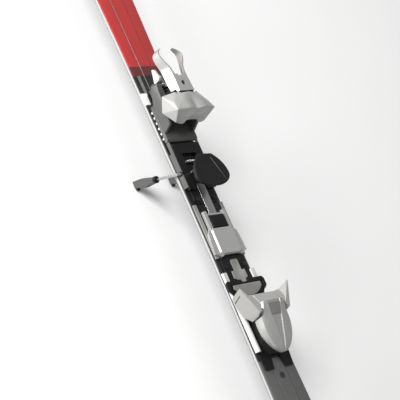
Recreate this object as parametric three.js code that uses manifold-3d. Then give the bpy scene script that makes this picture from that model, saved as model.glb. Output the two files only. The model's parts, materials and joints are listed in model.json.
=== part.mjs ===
// Alpine ski with an adjustable rail binding, one ski of the pair.
// Millimetres. +X points to the tip, +Y to the skier's left, +Z up.
// The origin lies on the running base, under the middle of the boot sole.
import * as THREE from 'three';
import { ConvexGeometry } from 'three/addons/geometries/ConvexGeometry.js';
import { mergeVertices } from 'three/addons/utils/BufferGeometryUtils.js';
import Module from 'manifold-3d';

const wasm = await Module();
wasm.setup();

// ---------------------------------------------------------------- driving dimensions
const GAP = 0.3; // clearance between pieces that touch
const PIN = 2.0; // radius of the hinge pins
const BORE = PIN + GAP;

const SKI = {
  tail: -745, tip: 915, waistX: -15, waistHalf: 37.5, sidecut: 14420,
  tipWide: 795, tailWide: -690, tipRiseFrom: 560, tipRise: 58, tailRiseFrom: -640, tailRise: 9,
  full: 330, endThickness: 0.62, stations: 46,
  edgeTop: 7.1, shoulder: 8.6, crown: 9.4, groove: 8.5, sheet: 0.9,
  base: 1.3, edge: 2.0, wall: 2.4,
};
const DECK = 9.8; // underside of everything that is screwed on the ski
const TRACK_TOP = 13.0;
const HEEL = {
  back: -238, front: -133, half: 37, waist: 24, waistX: -211, floor: 13.4, tread: 20.2, mouth: -149, wallTop: 41,
  cupPivot: [-200, 71], leverPivot: [-212, 66], springZ: 29.6, screw: 6.5, cheek: 15.5,
};
const BRAKE = {
  back: -130, front: -46, half: 34, floor: 13.4, top: 20.5, recess: 18,
  pivot: [-71, 15.8], armY: 43, wire: 2.5, armLength: 110, footLength: 53, armLean: 0.345,
  link: 28.2, linkY: 13, springX: -93,
};
const CENTRE = {
  back: 4.5, front: 91, half: 39, channel: 18.6, roof: 15.1, top: 20.2, tabFront: 37,
  hinge: [34, 17.2], hingePin: 1.0,
};
const TOE = {
  wingPivot: [210, 36], plateTop: 12.2, frontEnd: 300, afdBack: 137, afdHalf: 47, afdFloor: 15.2,
  afdTop: 19.2, noseFront: 281, noseFloor: 28, springZ: 36.5, bore: 7.8, screwZ: 34.5, screw: 4.2,
};

// ---------------------------------------------------------------- materials
const finish = (color, roughness, metalness) =>
  new THREE.MeshStandardMaterial({ color, roughness, metalness });
const BLACK = finish(0x1f1f20, 0.55, 0);
const CHARCOAL = finish(0x2d2d2e, 0.7, 0);
const DARK_GREY = finish(0x63625f, 0.5, 0);
const MID_GREY = finish(0x8b8a86, 0.5, 0);
const SILVER = finish(0xc9c9c6, 0.32, 0.35);
const WHITE = finish(0xf2f2f0, 0.4, 0);
const STEEL = finish(0xa9abad, 0.25, 1);
const RED = finish(0xb93a38, 0.4, 0);
const WOOD = finish(0xb99a6a, 0.7, 0);

// ---------------------------------------------------------------- solids
const ski = new THREE.Group();

function add(name, geometry, material, place = [0, 0, 0]) {
  const mesh = new THREE.Mesh(geometry, material);
  mesh.name = name;
  mesh.position.set(...place);
  ski.add(mesh);
  return mesh;
}

function solid(geometry) {
  const bare = geometry.clone();
  bare.deleteAttribute('normal');
  bare.deleteAttribute('uv');
  const merged = mergeVertices(bare, 1e-4);
  return new wasm.Manifold(new wasm.Mesh({
    numProp: 3,
    vertProperties: new Float32Array(merged.attributes.position.array),
    triVerts: new Uint32Array(merged.index.array),
  }));
}

function geometryOf(manifold) {
  const mesh = manifold.getMesh();
  const geometry = new THREE.BufferGeometry();
  geometry.setAttribute('position', new THREE.BufferAttribute(mesh.vertProperties, 3));
  geometry.setIndex(new THREE.BufferAttribute(mesh.triVerts, 1));
  geometry.computeVertexNormals();
  return geometry;
}

const cut = (body, ...tools) =>
  geometryOf(tools.reduce((left, tool) => left.subtract(solid(tool)), solid(body)));
const join = (body, ...others) =>
  geometryOf(others.reduce((left, other) => left.add(solid(other)), solid(body)));

// A box given by its lowest and highest corners.
function block([x0, y0, z0], [x1, y1, z1]) {
  const box = new THREE.BoxGeometry(x1 - x0, y1 - y0, z1 - z0);
  return box.translate((x0 + x1) / 2, (y0 + y1) / 2, (z0 + z1) / 2);
}

// The convex body round some points; "both" repeats each point on the other side.
const hull = (points) => new ConvexGeometry(points.map((p) => new THREE.Vector3(...p)));
const both = (points) => points.flatMap(([x, y, z]) => (y === 0 ? [[x, y, z]] : [[x, y, z], [x, -y, z]]));

// A plan outline of x, y points raised from z0 to z1.
function prism(outline, z0, z1) {
  const shape = new THREE.Shape(outline.map(([x, y]) => new THREE.Vector2(x, y)));
  const body = new THREE.ExtrudeGeometry(shape, { depth: z1 - z0, bevelEnabled: false });
  return body.translate(0, 0, z0);
}

// A side outline of x, z points, stretched across from y0 to y1.
function slab(outline, y0, y1) {
  const shape = new THREE.Shape(outline.map(([x, z]) => new THREE.Vector2(x, z)));
  const body = new THREE.ExtrudeGeometry(shape, { depth: y1 - y0, bevelEnabled: false });
  return body.rotateX(Math.PI / 2).translate(0, y1, 0);
}

// A cross-section of y, z points, stretched along from x0 to x1.
function bar(outline, x0, x1) {
  const shape = new THREE.Shape(outline.map(([y, z]) => new THREE.Vector2(y, z)));
  const body = new THREE.ExtrudeGeometry(shape, { depth: x1 - x0, bevelEnabled: false });
  return body.rotateX(Math.PI / 2).rotateZ(Math.PI / 2).translate(x0, 0, 0);
}

function rodAcross(radius, x, z, y0, y1, sides = 16) {
  const rod = new THREE.CylinderGeometry(radius, radius, y1 - y0, sides);
  return rod.translate(x, (y0 + y1) / 2, z);
}

function rodAlong(radius, y, z, x0, x1, sides = 16) {
  const rod = new THREE.CylinderGeometry(radius, radius, x1 - x0, sides);
  return rod.rotateZ(Math.PI / 2).translate((x0 + x1) / 2, y, z);
}

function rodUp(radius, x, y, z0, z1, sides = 16) {
  const rod = new THREE.CylinderGeometry(radius, radius, z1 - z0, sides);
  return rod.rotateX(Math.PI / 2).translate(x, y, (z0 + z1) / 2);
}

const circle = (radius, sides) => new THREE.Shape(
  Array.from({ length: sides }, (_, i) => {
    const turn = (i / sides) * 2 * Math.PI;
    return new THREE.Vector2(radius * Math.cos(turn), radius * Math.sin(turn));
  }),
);

// A round wire along straight runs whose corners are bent to the given radius.
function wire(points, radius, bend, sides = 8) {
  const stops = points.map((p) => new THREE.Vector3(...p));
  const path = new THREE.CurvePath();
  let from = stops[0];
  for (let i = 1; i < stops.length - 1; i += 1) {
    const into = stops[i].clone().addScaledVector(stops[i - 1].clone().sub(stops[i]).normalize(), bend);
    const out = stops[i].clone().addScaledVector(stops[i + 1].clone().sub(stops[i]).normalize(), bend);
    path.add(new THREE.LineCurve3(from, into));
    path.add(new THREE.QuadraticBezierCurve3(into, stops[i], out));
    from = out;
  }
  path.add(new THREE.LineCurve3(from, stops[stops.length - 1]));
  const steps = Math.ceil(path.getLength() / 5);
  return new THREE.ExtrudeGeometry(circle(radius, sides), { steps, extrudePath: path, bevelEnabled: false });
}

// A coil spring round the X axis through y = 0, z = 0, starting at x = 0.
class Helix extends THREE.Curve {
  constructor(radius, length, turns) {
    super();
    Object.assign(this, { radius, length, turns });
  }

  getPoint(t, target = new THREE.Vector3()) {
    const turn = t * this.turns * 2 * Math.PI;
    return target.set(this.length * t, this.radius * Math.cos(turn), this.radius * Math.sin(turn));
  }
}
const coil = (radius, length, turns, wireRadius) => new THREE.ExtrudeGeometry(
  circle(wireRadius, 5),
  { steps: turns * 10, extrudePath: new Helix(radius, length, turns), bevelEnabled: false },
);

// ---------------------------------------------------------------- the ski's own shape
const smooth = (a, b, x) => THREE.MathUtils.smoothstep(x, a, b);

function halfWidth(x) {
  const side = SKI.waistHalf + (x - SKI.waistX) ** 2 / (2 * SKI.sidecut);
  const tip = THREE.MathUtils.clamp((x - SKI.tipWide) / (SKI.tip + 2 - SKI.tipWide), 0, 1);
  const tail = THREE.MathUtils.clamp((SKI.tailWide - x) / (SKI.tailWide + 8 - SKI.tail), 0, 1);
  return side * Math.sqrt(1 - tip ** 2.4) * (1 - tail ** 4) ** 0.4;
}

function rise(x) {
  const tip = Math.max(0, (x - SKI.tipRiseFrom) / (SKI.tip - SKI.tipRiseFrom));
  const tail = Math.max(0, (SKI.tailRiseFrom - x) / (SKI.tailRiseFrom - SKI.tail));
  return SKI.tipRise * tip ** 2.3 + SKI.tailRise * tail ** 1.8;
}

const thickness = (x) => 1 - (1 - SKI.endThickness) * smooth(SKI.full, 720, Math.abs(x));

// Station i of the ski, closer together towards the two ends.
const station = (u) =>
  (SKI.tail + SKI.tip) / 2 - ((SKI.tip - SKI.tail) / 2) * Math.cos(Math.PI * u);

// A layer of the ski: "across" gives y from the half-width, "under" and "over" its two faces.
function layer(ribs, across, under, over) {
  const box = new THREE.BoxGeometry(1, 1, 1, SKI.stations, ribs.length - 1, 1);
  const spot = box.attributes.position;
  for (let i = 0; i < spot.count; i += 1) {
    const x = station(spot.getX(i) + 0.5);
    const rib = ribs[Math.round((spot.getY(i) + 0.5) * (ribs.length - 1))];
    const height = spot.getZ(i) > 0 ? over(rib, x) : under(rib, x);
    spot.setXYZ(i, x, across(rib, halfWidth(x)), rise(x) + height);
  }
  return box;
}

const RIBS = [-1, -0.92, -0.41, -0.36, -0.31, 0.31, 0.36, 0.41, 0.92, 1];
const RIB_HEIGHTS = new Map([
  [1, SKI.edgeTop], [0.92, SKI.shoulder], [0.41, SKI.shoulder + 0.3], [0.36, SKI.groove], [0.31, SKI.crown],
]);
const capHeight = (rib, x) => RIB_HEIGHTS.get(Math.abs(rib)) * thickness(x);

function skiBody() {
  const sides = [['left', 1], ['right', -1]];
  add('base_sole', layer([-1, 0, 1], (r, w) => r * (w - SKI.edge - GAP), () => 0, () => SKI.base), BLACK);
  add('ski_core', layer([-1, 0, 1], (r, w) => r * (w - SKI.wall - 2 * GAP), () => SKI.base + GAP,
    (r, x) => (SKI.shoulder - 0.2) * thickness(x) - SKI.sheet - GAP - 0.2), WOOD);
  for (const [side, sign] of sides) {
    add(`steel_edge_${side}`, layer([0, 1], (r, w) => sign * (w - SKI.edge * (sign > 0 ? 1 - r : r)),
      () => 0, () => SKI.base), STEEL);
    add(`sidewall_${side}`, layer([0, 1], (r, w) => sign * (w - 0.2 - SKI.wall * (sign > 0 ? 1 - r : r)),
      () => SKI.base + GAP, (r, x) => SKI.edgeTop * thickness(x) - SKI.sheet - GAP), WHITE);
  }
  add('top_sheet', layer(RIBS, (r, w) => r * (w - 0.1), (r, x) => capHeight(r, x) - SKI.sheet, capHeight), RED);
  const end = halfWidth(SKI.tail) - 2;
  const low = rise(SKI.tail);
  add('tail_protector', hull(both([
    [SKI.tail - GAP, end, low], [SKI.tail - 5, end - 6, low + 0.5],
    [SKI.tail - GAP, end, low + 5], [SKI.tail - 5, end - 6, low + 4.5],
  ])), BLACK);
}

// ---------------------------------------------------------------- heel track and racks
function heelTrack() {
  const half = 28.5;
  const front = -13;
  add('heel_track', prism([
    [-236, -half + 6], [-230, -half], [front - 6, -half], [front, -half + 5],
    [front, half - 5], [front - 6, half], [-230, half], [-236, half - 6],
  ], DECK, TRACK_TOP), BLACK);
  const pitch = 10.4; // of the rack teeth
  const rackBack = -199;
  const rackFront = rackBack + 6 * pitch;
  for (const [side, sign] of [['left', 1], ['right', -1]]) {
    const outline = [[rackBack, sign * 29], [rackFront, sign * 29], [rackFront, sign * 33.6]];
    for (let x = rackFront; x > rackBack + 1; x -= pitch) {
      outline.push([x - 3, sign * 33.6], [x - 4, sign * 37], [x - 7.6, sign * 37], [x - 8.2, sign * 33.6]);
    }
    outline.push([rackBack, sign * 33.6]);
    add(`rack_${side}`, prism(outline, DECK, TRACK_TOP), WHITE);
  }
}

// ---------------------------------------------------------------- heel piece
function heelCarriage() {
  const { back, front, half, floor, tread, mouth, waist, waistX } = HEEL;
  const base = slab([
    [back, floor], [front, floor], [front, 17.6], [mouth + 12, tread], [mouth + 1, tread],
    [mouth + 0.5, tread - 0.3], [back + 4, tread - 0.3],
  ], -half, half);
  const corner = (sign) => prism([
    [back - 1, sign * waist], [waistX, sign * waist], [waistX + 8, sign * (half + 1)], [back - 1, sign * (half + 1)],
  ], floor - 1, tread + 1);
  add('heel_carriage', cut(base, corner(1), corner(-1)), DARK_GREY);
}

function heelHousing() {
  const { back, half, tread, mouth, wallTop, waist, waistX } = HEEL;
  const z0 = tread + GAP;
  const outer = hull(both([
    [back, waist - 2, z0], [waistX + 9, half, z0], [mouth, half, z0], [back - 3, half - 9, 32],
    [back + 2, half - 2, 32], [back + 4, half - 8, wallTop], [-205, half - 4, wallTop + 1],
    [-160, half - 1, wallTop - 1], [-157, half - 1, wallTop - 3],
  ]));
  const inside = block([waistX + 6, -27, z0 - 1], [-146, 27, wallTop - 4]);
  const insideBack = block([-232, -20, z0 - 1], [waistX + 7, 20, wallTop - 4]);
  const mouthCut = hull([
    [-170, -31, z0 - 1], [-170, 31, z0 - 1], [-140, -31, z0 - 1], [-140, 31, z0 - 1],
    [-176, -31, 50], [-176, 31, 50], [-140, -31, 50], [-140, 31, 50],
  ]);
  const frameRoom = block([-232, -18, z0 - 1], [-186, 18, 60]);
  const screwBore = rodAlong(HEEL.screw + GAP, 0, HEEL.springZ, -250, -230);
  const rearNotch = hull(both([[-250, 9, 36], [-250, 17, 60], [-218, 9, 36], [-218, 17, 60]]));
  add('heel_housing', cut(outer, inside, insideBack, mouthCut, frameRoom, rearNotch, screwBore), DARK_GREY);
}

function heelFrame() {
  const [cx, cz] = HEEL.cupPivot;
  const [lx, lz] = HEEL.leverPivot;
  const z0 = HEEL.tread + GAP;
  const half = HEEL.cheek;
  const floor = block([-218, -half, z0], [-190, half, z0 + 1.5]);
  const outline = [
    [-218, z0], [-190, z0], [-193, 55], [cx + 4, cz - 3], [cx + 3, cz + 3.2], [cx - 3.4, cz + 3.2],
    [lx + 4, lz + 3.4], [lx, lz + 4.2], [lx - 3.4, lz + 2.4], [-216.5, lz - 3], [-218, 55],
  ];
  const cheeks = [slab(outline, half - 3, half), slab(outline, -half, 3 - half)];
  const bores = [[cx, cz], [lx, lz]].map(([x, z]) => rodAcross(BORE, x, z, -half - 5, half + 5));
  add('heel_frame', cut(join(floor, ...cheeks), ...bores), BLACK);
}

function heelCup() {
  const [cx, cz] = HEEL.cupPivot;
  const outer = hull(both([
    [-163, 0, 83], [-198, 0, 78.5], [-196, 12, 78], [-166.5, 28, 81], [-164, 46, 79], [-181, 41, 74.5],
    [-202.5, 27, 70.5], [-204, 44, 54], [-178, 46, 41], [-152, 35.5, 52.4], [-149.5, 27, 52],
  ]));
  const inside = hull(both([
    [-215, 41, 30], [-178, 42.6, 30], [-146, 30, 36], [-153.5, 30, 56], [-168, 40, 73], [-182, 37.5, 71],
    [-201, 24, 67.5], [-215, 34, 55], [-215, 10, 74.6], [-170, 24, 77.5], [-168, 0, 79],
  ]));
  const arch = hull(both([[-140, 22, 46], [-140, 13, 57], [-170, 22, 46], [-170, 13, 57]]));
  const lugInner = HEEL.cheek + 0.5;
  const lugOuter = HEEL.cheek + 3.3;
  const lugOutline = [[cx - 4, cz - 1.5], [cx - 1.5, cz - 4], [cx + 4, cz - 3], [cx + 9, cz + 7], [cx - 4, cz + 7]];
  const lugs = [[lugInner, lugOuter], [-lugOuter, -lugInner]].map(([y0, y1]) => slab(lugOutline, y0, y1));
  const shell = solid(outer).subtract(solid(inside)).subtract(solid(arch));
  const fitted = lugs.map((lug) => solid(lug).intersect(solid(outer)));
  const pinBore = solid(rodAcross(BORE, cx, cz, -HEEL.cheek - 3.3, HEEL.cheek + 3.3));
  add('heel_cup', geometryOf(shell.add(fitted[0]).add(fitted[1]).subtract(pinBore)), SILVER);
}

function heelLever() {
  const [lx, lz] = HEEL.leverPivot;
  const hollowHalf = HEEL.cheek + 0.6;
  // Each station along a prong: x, half-width outside at the top and bottom, wall, top z, bottom z.
  const stations = [
    [-226, 16.5, 25.5, 9, 75.5, 60], [-240, 16.5, 26, 5, 75, 60], [-252, 19, 27, 4, 75, 59.5],
    [-264, 26, 30, 3.8, 74.5, 59], [-275, 29.5, 31.5, 3.6, 74, 59.5], [-283, 26, 28, 3.4, 73, 61],
    [-290, 17, 18, 3, 71, 64],
  ];
  const ring = ([x, top, bottom, wall, high, low], sign) => [
    [x, sign * top, high], [x, sign * (top - wall), high], [x, sign * bottom, low], [x, sign * (bottom - wall), low],
  ];
  const root = hull(both([
    [-207, 17, 75], [-226, 16.5, 75.5], [-236, 14, 75], [-236, 24.5, 60], [-226, 25.5, 60], [-208, 24, 61],
    [-207, 19.5, 71],
  ]));
  let lever = solid(root);
  for (const sign of [1, -1]) {
    for (let i = 1; i < stations.length; i += 1) {
      lever = lever.add(solid(hull([...ring(stations[i - 1], sign), ...ring(stations[i], sign)])));
    }
  }
  const hollow = block([-227, -hollowHalf, 50], [-200, hollowHalf, lz + 5]);
  const frontBay = block([lx + 4.6, -60, 50], [-190, 60, lz + 5]);
  const notch = block([-240, -4, 50], [-232, 4, 90]);
  const poleHole = rodUp(3.6, -218, 0, 40, 90, 18);
  const pinBore = rodAcross(BORE, lx, lz, -40, 40);
  lever = [hollow, frontBay, notch, poleHole, pinBore].reduce((left, tool) => left.subtract(solid(tool)), lever);
  add('heel_lever', geometryOf(lever), SILVER);
}

function heelInternals() {
  const [cx, cz] = HEEL.cupPivot;
  const [lx, lz] = HEEL.leverPivot;
  const { springZ, screw } = HEEL;
  add('heel_cup_pin', rodAcross(PIN, cx, cz, -HEEL.cheek - 3, HEEL.cheek + 3), STEEL);
  add('heel_lever_pin', rodAcross(PIN, lx, lz, -HEEL.cheek - 3.5, HEEL.cheek + 3.5), STEEL);
  add('heel_spring', coil(6, 34, 7, 1.1), STEEL, [-229, 0, springZ]);
  const head = rodAlong(6.9, 0, springZ, -191, -186);
  add('heel_plunger', join(head, rodAlong(3.6, 0, springZ, -218, -190)), STEEL);
  const knob = rodAlong(screw, 0, springZ, -240.5, -232.5, 24);
  add('heel_release_screw', cut(knob, block([-242, -1, 20], [-239, 1, 42])), STEEL);
  add('heel_size_latch', slab([
    [-268.5, 33], [-243.5, 26], [-242.3, 31], [-243.5, 39], [-247.5, 43], [-266.5, 37],
  ], -17, -11), WHITE);
}

// ---------------------------------------------------------------- ski brake
function brakeBase() {
  const { back, front, half, floor, top, recess, pivot } = BRAKE;
  const [px, pz] = pivot;
  const plate = hull([
    ...both([[back, half, floor], [front + 6, half, floor], [front, half - 6, floor]]),
    ...both([[back + 2, half - 1, top], [front + 6, half - 1, top - 2], [front + 2, half - 7, top - 2]]),
  ]);
  const well = prism([
    [-108, -recess], [-40, -recess + 2], [-40, recess - 2], [-108, recess],
  ], floor - 1, top + 1);
  const keeper = block([px - 3.2, -50, floor - 1], [px + 3.2, 50, pz + 3.2]);
  const springBore = rodAcross(BORE, BRAKE.springX, pz + 0.8, -24, 24);
  add('brake_base', cut(plate, well, keeper, springBore), BLACK);
  for (const [side, sign] of [['left', 1], ['right', -1]]) {
    const skirt = bar([
      [sign * (half + 0.4), floor], [sign * (half + 0.4), top - 1.5],
      [sign * 35.6, top - 1.5], [sign * 37.9, 11], [sign * 37.9, DECK], [sign * 35, DECK],
    ], -132.6, -44);
    const overRack = block([-140, -60, 0], [-111, 60, TRACK_TOP + GAP]);
    add(`brake_skirt_${side}`, cut(skirt, overRack, rodAcross(4.2, px, pz - 0.6, -60, 60)), DARK_GREY);
  }
  const springZ = pz + 0.8;
  add('brake_spring_pin', rodAcross(PIN, BRAKE.springX, springZ, -23, 23), STEEL);
  const turns = coil(2.8, 20, 9, 0.5).rotateZ(Math.PI / 2);
  add('brake_spring', turns, STEEL, [BRAKE.springX, -10, springZ]);
}

function brakeArms() {
  const { pivot, armY, wire: radius, armLength, footLength, armLean, link, linkY } = BRAKE;
  const [px, pz] = pivot;
  // A point on the deployed arm: "down" from the pivot, "ahead" of the arm's line, at a given y.
  const onArm = (down, ahead, y) => {
    const slope = Math.atan(armLean);
    return [px - down * Math.sin(slope) + ahead * Math.cos(slope), y,
      pz - down * Math.cos(slope) - ahead * Math.sin(slope)];
  };
  const neck = armLength - footLength;
  const wireEnd = neck + 24;
  for (const [side, sign] of [['left', 1], ['right', -1]]) {
    add(`brake_arm_${side}`, wire([
      onArm(wireEnd, 0, sign * armY), [px, sign * armY, pz], [px, sign * linkY, pz],
      [px, sign * linkY, pz + link], [px, sign * 4, pz + link],
    ], radius, 5), STEEL);
    const inner = sign * (armY - 4);
    const outer = sign * (armY + 6);
    const foot = hull([
      onArm(neck, -5, inner), onArm(neck, 5, inner), onArm(neck, -4, outer), onArm(neck, 4, outer),
      onArm(neck + 30, -8, inner), onArm(neck + 26, 10, inner), onArm(neck + 30, -7, outer + sign * 2),
      onArm(neck + 26, 9, outer + sign * 2), onArm(armLength, -5, inner), onArm(armLength - 3, 7, inner),
      onArm(armLength, -5, outer), onArm(armLength - 3, 7, outer),
    ]);
    const bore = wire([onArm(neck - 12, 0, sign * armY), onArm(neck, 0, sign * armY),
      onArm(wireEnd + GAP, 0, sign * armY)], radius + GAP, 1);
    add(`brake_foot_${side}`, cut(foot, bore), DARK_GREY);
  }
}

function brakePedal() {
  const { pivot, link, linkY } = BRAKE;
  const [px, pz] = pivot;
  const hinge = pz + link;
  const outline = (inset) => {
    const shape = new THREE.Shape();
    shape.moveTo(-90 + inset, 0);
    shape.lineTo(-89 + inset, 18 - inset);
    shape.bezierCurveTo(-78, 31 - inset, -66, 40 - inset, -50, 41 - inset);
    shape.bezierCurveTo(-40, 42 - inset, -28 - inset, 27 - inset, -27.5 - inset, 6);
    shape.lineTo(-27.5 - inset, -6);
    shape.bezierCurveTo(-28 - inset, -27 + inset, -40, -42 + inset, -50, -41 + inset);
    shape.bezierCurveTo(-66, -40 + inset, -78, -31 + inset, -89 + inset, -18 + inset);
    return shape;
  };
  const frame = new THREE.ExtrudeGeometry(outline(4), { depth: 4.6, bevelEnabled: false, curveSegments: 5 });
  const lug = block([px - 5, -linkY + 3.5, hinge - 4], [px + 5, linkY - 3.5, hinge + 3]);
  const body = join(frame.translate(0, 0, hinge - 1.6), lug);
  const clear = (sign) => block(
    [px - 20, Math.min(sign * 7.5, sign * 18), hinge - 8], [px + 6, Math.max(sign * 7.5, sign * 18), hinge + 3]);
  add('brake_pedal', cut(body, clear(1), clear(-1), rodAcross(BRAKE.wire + GAP, px, hinge, -20, 20)), BLACK);
  const pad = new THREE.ExtrudeGeometry(outline(1.5), {
    depth: 2.4, bevelEnabled: true, bevelThickness: 1.3, bevelSize: 1.5, bevelSegments: 1, curveSegments: 6,
  });
  add('brake_pedal_pad', pad.translate(0, 0, hinge + 3.3 + 1.3), CHARCOAL);
}

// ---------------------------------------------------------------- centre adjuster
function centreAdjuster() {
  const { back, front, half, channel, roof, top, tabFront } = CENTRE;
  const z0 = TOE.plateTop + 0.4;
  const deck = prism([
    [36, -27], [42, -30], [46, -35], [60, -half + 2], [84, -half], [88, -30], [front, -26], [front - 3, -18],
    [front - 3, 18], [front, 26], [88, 30], [84, half], [60, half - 2], [46, 35], [42, 30], [36, 27],
  ], z0, 17.4);
  const cap = hull(both([
    [37, 23, 17], [40, 27, 17], [84, 28, 17], [88, 22, 17], [38.5, 21, top], [41, 24.5, top], [82, 25, top], [86, 20, top],
  ]));
  const prong = (sign) => block([back, Math.min(sign * 20, sign * 26.7), z0], [40, Math.max(sign * 20, sign * 26.7), 18.9]);
  const body = solid(deck).add(solid(cap)).add(solid(prong(1))).add(solid(prong(-1)))
    .add(solid(block([9.5, -24, roof], [12.4, 24, 17.6])));
  const tunnel = block([0, -channel, z0 - 1], [100, channel, roof]);
  const tabBay = block([13, -19.8, roof - 2], [tabFront + 0.6, 19.8, 30]);
  const teeth = [];
  for (let x = 60; x < 84; x += 4) {
    for (const sign of [1, -1]) {
      teeth.push(hull([
        [x, sign * (half + 3), 5], [x + 2.4, sign * (half + 3), 5], [x + 1.2, sign * (half - 4), 5],
        [x, sign * (half + 3), 30], [x + 2.4, sign * (half + 3), 30], [x + 1.2, sign * (half - 4), 30],
      ]));
    }
  }
  const [hx, hz] = CENTRE.hinge;
  const pinBore = rodAcross(CENTRE.hingePin + 0.2, hx, hz, -23, 23, 14);
  const plate = [tunnel, tabBay, pinBore, ...teeth].reduce((left, tool) => left.subtract(solid(tool)), body);
  add('centre_plate', geometryOf(plate), SILVER);
  const tab = hull(both([
    [14, 18.6, roof + GAP], [hx + 1, 18.6, roof + GAP], [hx + 2, 18.6, hz - 0.6], [14, 18.6, 19],
    [16, 17.4, 20], [hx + 2, 18.6, 19], [hx + 1, 17.4, 20],
  ]));
  add('lock_tab', cut(tab, rodAcross(CENTRE.hingePin + 0.2, hx, hz, -30, 30, 14)), BLACK);
  add('lock_tab_pin', rodAcross(CENTRE.hingePin, hx, hz, -22.5, 22.5, 14), STEEL);
  add('adjust_band', prism([[-50, -9.5], [44, -9.5], [44, 9.5], [-50, 9.5]], TRACK_TOP + 0.4, TRACK_TOP + 1.8), STEEL);
  for (const [side, sign] of [['left', 1], ['right', -1]]) {
    add(`centre_rail_${side}`, bar([
      [sign * 29.4, DECK], [sign * 37, DECK], [sign * 37, 11.5], [sign * 34.5, 12.4], [sign * 29.4, 12.4],
    ], -12, 91), MID_GREY);
  }
}

// ---------------------------------------------------------------- toe track, rails and carriage
function toeTrack() {
  const { plateTop, frontEnd } = TOE;
  add('toe_track', prism([
    [-12, -29], [268, -29], [270, -38], [frontEnd, -35], [frontEnd, -14], [278, -10], [278, 10],
    [frontEnd, 14], [frontEnd, 35], [270, 38], [268, 29], [-12, 29],
  ], DECK, plateTop), BLACK);
  for (const [side, sign] of [['left', 1], ['right', -1]]) {
    const arch = [];
    for (let i = 0; i <= 8; i += 1) {
      const turn = (i / 8) * Math.PI;
      arch.push([sign * (34.8 - 5.4 * Math.cos(turn)), 11.4 + 5.6 * Math.sin(turn)]);
    }
    const section = [[sign * 29.4, DECK], ...arch, [sign * 40.2, DECK]];
    const rail = bar(section, 119, 267);
    const lowered = block([100, -60, 14.4], [188, 60, 30]);
    add(`toe_rail_${side}`, cut(rail, lowered), SILVER);
  }
}

function toeCarriage() {
  const z0 = TOE.plateTop + GAP;
  const under = block([150, -20.5, z0], [200, 20.5, TOE.afdFloor - GAP]);
  const body = hull(both([
    [178, 27, z0], [258, 27, z0], [276, 15, z0],
    [178, 26, 20], [196, 26, 27.6], [250, 25, 27.6], [270, 13, 27.6], [277, 10, 20],
  ]));
  add('toe_carriage', join(body, under), BLACK);
  const nub = prism([
    [97, -6], [98, -8.8], [118, -8.8], [118, -16], [132, -17], [136, -9], [149.5, -9],
    [149.5, 9], [136, 9], [132, 17], [118, 16], [118, 8.8], [98, 8.8], [97, 6],
  ], z0, z0 + 1.6);
  add('toe_link', nub, MID_GREY);
}

function toePad() {
  const { afdBack, afdHalf, afdFloor, afdTop } = TOE;
  const frame = prism([
    [afdBack, -9], [afdBack, -afdHalf + 4], [afdBack + 4, -afdHalf], [afdBack + 17, -afdHalf - 0.5],
    [afdBack + 26, -38], [177.6, -26], [177.6, 26], [afdBack + 26, 38], [afdBack + 17, afdHalf + 0.5],
    [afdBack + 4, afdHalf], [afdBack, afdHalf - 4], [afdBack, 9], [afdBack + 5, 7], [afdBack + 5, -7],
  ], afdFloor, afdTop);
  const bay = block([afdBack + 8, -afdHalf + 6, afdTop - 2], [169, afdHalf - 6, afdTop + 5]);
  add('afd_frame', cut(frame, bay), BLACK);
  const pad = new THREE.Shape();
  pad.moveTo(afdBack + 9, -33);
  pad.lineTo(afdBack + 16, -34);
  pad.quadraticCurveTo(168, -20, 168, 0);
  pad.quadraticCurveTo(168, 20, afdBack + 16, 34);
  pad.lineTo(afdBack + 9, 33);
  const sheet = new THREE.ExtrudeGeometry(pad, { depth: 2.4, bevelEnabled: false, curveSegments: 8 });
  add('afd_pad', sheet.translate(0, 0, afdTop - 2 + GAP), MID_GREY);
}

// ---------------------------------------------------------------- toe piece
function toeHousing() {
  const nose = hull(both([
    [199, 26, TOE.noseFloor], [236, 31, TOE.noseFloor], [255, 25, TOE.noseFloor], [270, 15, TOE.noseFloor],
    [279, 6, TOE.noseFloor + 1], [TOE.noseFront, 0, TOE.noseFloor + 2],
    [222, 30, 42], [240, 35.5, 42], [258, 30, 41], [272, 19, 38], [279.5, 8, 37],
    [197, 27, 55], [195, 21, 60.5], [222, 27, 54], [240, 24, 50], [262, 14, 45], [277, 5, 40.5],
  ]));
  const bridge = hull(both([
    [181, 24, 30], [183, 26, 44], [200, 27, 30], [200, 27, 50], [181, 10, 43],
  ]));
  const bore = rodAlong(TOE.bore, 0, TOE.springZ, 206, 256, 24);
  const mouth = rodAlong(TOE.screw + GAP, 0, TOE.screwZ, 250, 300, 24);
  const hollow = hull(both([[190, 18, 20], [190, 18, 40], [226, 22, 20], [226, 22, 44], [262, 10, 20], [262, 10, 33]]));
  const windowBay = hull(both([[199, 15, 62], [199, 15, 58.6], [219, 12, 53], [219, 12, 62]]));
  const wingRoom = [1, -1].map((sign) => rodUp(9, TOE.wingPivot[0], sign * TOE.wingPivot[1], 20, 70, 20));
  add('toe_housing', cut(join(nose, bridge), bore, mouth, hollow, windowBay, ...wingRoom), SILVER);
  add('toe_window', hull(both([
    [200, 14.4, 59.6], [200, 14.4, 58.9], [218.4, 11.4, 54], [218.4, 11.4, 53.5],
  ])), MID_GREY);
}

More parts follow.
